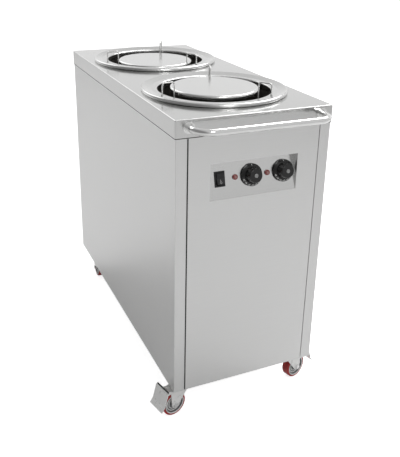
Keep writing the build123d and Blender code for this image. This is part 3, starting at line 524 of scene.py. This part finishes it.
def light_share(tree, camera, glossy, transmission):
    """Sum of the shares that camera, glossy and transmission rays take."""
    path = tree.nodes.new("ShaderNodeLightPath")
    shares = {"Is Camera Ray": camera, "Is Glossy Ray": glossy, "Is Transmission Ray": transmission}
    total = None
    for ray, share in shares.items():
        part = tree.nodes.new("ShaderNodeMath")
        part.operation = "MULTIPLY_ADD"
        part.inputs[1].default_value = share
        part.inputs[2].default_value = 0.0
        tree.links.new(path.outputs[ray], part.inputs[0])
        if total is not None:
            tree.links.new(total, part.inputs[2])
        total = part.outputs["Value"]
    return total


FLOOR_HALF = 20
FLOOR_COLOUR = (0.72, 0.72, 0.72, 1)
FLOOR_SHARES = (0.80, 0.07, 0.80)
WHITE = (1, 1, 1, 1)

floor_mesh = bpy.data.meshes.new("floor")
floor_corners = [(sx * FLOOR_HALF, sy * FLOOR_HALF, 0) for sx, sy in ((-1, -1), (1, -1), (1, 1), (-1, 1))]
floor_mesh.from_pydata(floor_corners, [], [(0, 1, 2, 3)])
floor = bpy.data.objects.new("floor", floor_mesh)
bpy.context.scene.collection.objects.link(floor)
floor_mat = bpy.data.materials.new("floor_pale")
floor_mat.use_nodes = True
tree = floor_mat.node_tree
tree.nodes.clear()
output = tree.nodes.new("ShaderNodeOutputMaterial")
matt = tree.nodes.new("ShaderNodeBsdfDiffuse")
matt.inputs["Color"].default_value = FLOOR_COLOUR
glow = tree.nodes.new("ShaderNodeEmission")
glow.inputs["Color"].default_value = WHITE
tree.links.new(light_share(tree, *FLOOR_SHARES), glow.inputs["Strength"])
both = tree.nodes.new("ShaderNodeAddShader")
tree.links.new(matt.outputs["BSDF"], both.inputs[0])
tree.links.new(glow.outputs["Emission"], both.inputs[1])
tree.links.new(both.outputs["Shader"], output.inputs["Surface"])
floor_mesh.materials.append(floor_mat)


# World: a white backdrop for the camera, and a soft grey studio for the light on the object

SKY_BEHIND = [(-1, 0.5), (0.0, 1.0), (0.12, 0.92), (0.22, 0.84), (0.4, 0.72), (0.7, 0.60), (1, 0.50)]
SKY_AHEAD = [(-1, 0.3), (0.0, 0.62), (0.2, 0.60), (0.42, 0.58), (0.7, 0.60), (1, 0.55)]
SKY_TURN = 0.35
FLAG_RANGE = (-0.7, -0.1)
FLAG_SHADE = 0.25
WORLD_SHARES = (1.0, 0.1, 1.0)

world = bpy.data.worlds.new("studio")
bpy.context.scene.world = world
world.use_nodes = True
tree = world.node_tree
tree.nodes.clear()
output = tree.nodes.new("ShaderNodeOutputWorld")
mix = tree.nodes.new("ShaderNodeMixShader")
seen = tree.nodes.new("ShaderNodeBackground")
seen.inputs["Color"].default_value = WHITE
lit = tree.nodes.new("ShaderNodeBackground")
coords = tree.nodes.new("ShaderNodeTexCoord")
split = tree.nodes.new("ShaderNodeSeparateXYZ")
tree.links.new(coords.outputs["Generated"], split.inputs["Vector"])


def sky_ramp(stops):
    """Grey against height: -1 straight down, 1 straight up."""
    to_unit = tree.nodes.new("ShaderNodeMapRange")
    to_unit.inputs["From Min"].default_value = -1
    to_unit.inputs["From Max"].default_value = 1
    tree.links.new(split.outputs["Z"], to_unit.inputs["Value"])
    node = tree.nodes.new("ShaderNodeValToRGB")
    while len(node.color_ramp.elements) < len(stops):
        node.color_ramp.elements.new(0.5)
    for element, (height, grey) in zip(node.color_ramp.elements, stops):
        element.position = (height + 1) / 2
        element.color = (grey, grey, grey, 1)
    tree.links.new(to_unit.outputs["Result"], node.inputs["Fac"])
    return node.outputs["Color"]


turn = tree.nodes.new("ShaderNodeMapRange")
turn.interpolation_type = "SMOOTHSTEP"
turn.inputs["From Min"].default_value = -SKY_TURN
turn.inputs["From Max"].default_value = SKY_TURN
tree.links.new(split.outputs["Y"], turn.inputs["Value"])
blend = tree.nodes.new("ShaderNodeMix")
blend.data_type = "RGBA"
tree.links.new(turn.outputs["Result"], blend.inputs["Factor"])
tree.links.new(sky_ramp(SKY_AHEAD), blend.inputs["A"])
tree.links.new(sky_ramp(SKY_BEHIND), blend.inputs["B"])
tree.links.new(blend.outputs["Result"], lit.inputs["Color"])

# A flag that shades the studio's left side
flag = tree.nodes.new("ShaderNodeMapRange")
flag.interpolation_type = "SMOOTHSTEP"
flag.inputs["From Min"].default_value = FLAG_RANGE[0]
flag.inputs["From Max"].default_value = FLAG_RANGE[1]
flag.inputs["To Min"].default_value = FLAG_SHADE
tree.links.new(split.outputs["X"], flag.inputs["Value"])
tree.links.new(flag.outputs["Result"], lit.inputs["Strength"])
tree.links.new(light_share(tree, *WORLD_SHARES), mix.inputs["Fac"])
tree.links.new(lit.outputs["Background"], mix.inputs[1])
tree.links.new(seen.outputs["Background"], mix.inputs[2])
tree.links.new(mix.outputs["Shader"], output.inputs["Surface"])


# Lamps: name, place, target, size in metres and power in watts

LAMPS = (
    ("key", (2.4, 1.0, 3.8), (0, 0.1, 0.3), 2.4, 100),
    ("fill", (0.0, -3.6, 3.4), (0.4, -2.4, 0), 1.2, 30),
    ("back", (-1.6, 4.4, 3.2), (-0.9, 3.2, 0), 4.0, 55),
)
for name, place, target, size, power in LAMPS:
    data = bpy.data.lights.new(name, "AREA")
    data.size = size
    data.energy = power
    lamp = bpy.data.objects.new(name, data)
    lamp.location = place
    lamp.rotation_mode = "QUATERNION"
    lamp.rotation_quaternion = (Vector(target) - Vector(place)).to_track_quat("-Z", "Y")
    bpy.context.scene.collection.objects.link(lamp)


# Camera at the photograph's angle

CAMERA_PLACE = (-0.7898, -1.8884, 1.3226)
CAMERA_TURN = (69.406, -1.111, -24.074)
CAMERA_LENS = 51.53
CAMERA_SENSOR = 36
CAMERA_SHIFT = -0.1171

camera = bpy.data.cameras.new("camera")
camera.lens = CAMERA_LENS
camera.sensor_width = CAMERA_SENSOR
camera.shift_y = CAMERA_SHIFT
eye = bpy.data.objects.new("camera", camera)
eye.location = CAMERA_PLACE
eye.rotation_euler = [math.radians(a) for a in CAMERA_TURN]
bpy.context.scene.collection.objects.link(eye)
bpy.context.scene.camera = eye
bpy.context.scene.view_settings.view_transform = "Standard"
